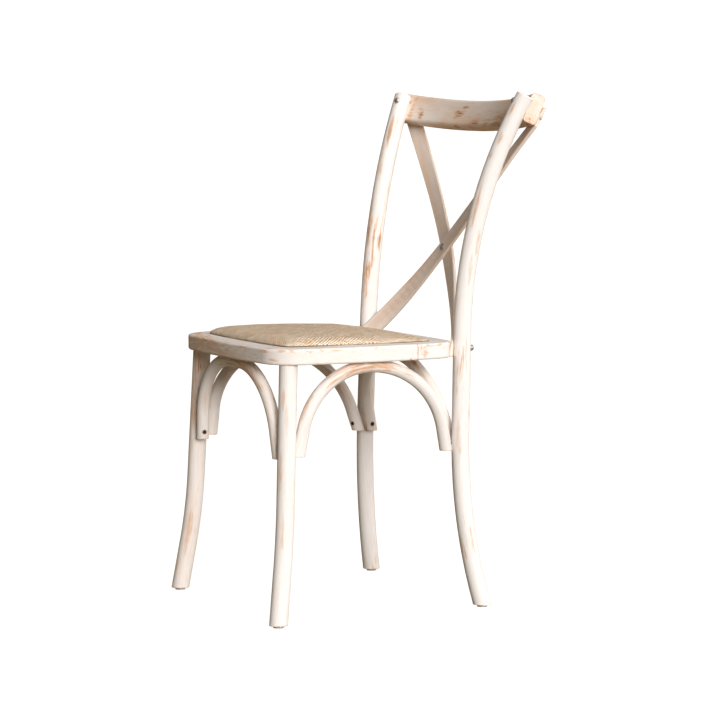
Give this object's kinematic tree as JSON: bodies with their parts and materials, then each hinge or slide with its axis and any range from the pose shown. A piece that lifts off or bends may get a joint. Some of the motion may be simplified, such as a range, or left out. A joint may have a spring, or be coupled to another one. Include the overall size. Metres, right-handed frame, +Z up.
{
  "type": "dining chair",
  "caption": "Cross-back dining chair of bent rods and a bowed top rail in worn whitewash, with crossing twisted slats, under-seat arches and a woven seat pad.",
  "frame": {"origin": "centre of the bounding box in plan, at floor level under the glides", "axes": "+Z up; the sitter faces -Y; +X to the sitter's left"},
  "size_m": [0.4544, 0.5422, 0.8848],
  "materials": {
    "whitewashed_wood": "worn whitewash, satin",
    "board": "raw",
    "foam": "soft",
    "rattan": "woven, dull",
    "steel": "satin",
    "glide": "matte"
  },
  "bodies": {
    "root": {"rear_leg_left": "whitewashed_wood", "rear_leg_right": "whitewashed_wood", "front_leg_left": "whitewashed_wood", "front_leg_right": "whitewashed_wood", "crest_rail": "whitewashed_wood", "back_slat_front": "whitewashed_wood", "back_slat_rear": "whitewashed_wood", "seat_front_hoop": "whitewashed_wood", "seat_rear_rail": "whitewashed_wood", "hoop_dowels": "board", "seat_board": "board", "seat_foam": "foam", "rattan_seat_cover": "rattan", "front_arch": "whitewashed_wood", "rear_arch": "whitewashed_wood", "side_arch_left": "whitewashed_wood", "side_arch_right": "whitewashed_wood", "foot_glides": "glide", "crest_bolts": "steel", "crest_nuts": "steel", "seat_bolts": "steel", "seat_barrel_nuts": "steel", "arch_leg_screws": "steel", "arch_seat_screws": "steel", "slat_top_screws": "steel", "crossing_screw": "steel", "crossing_washer": "steel", "seat_board_screws": "steel"}
  },
  "joints": []
}
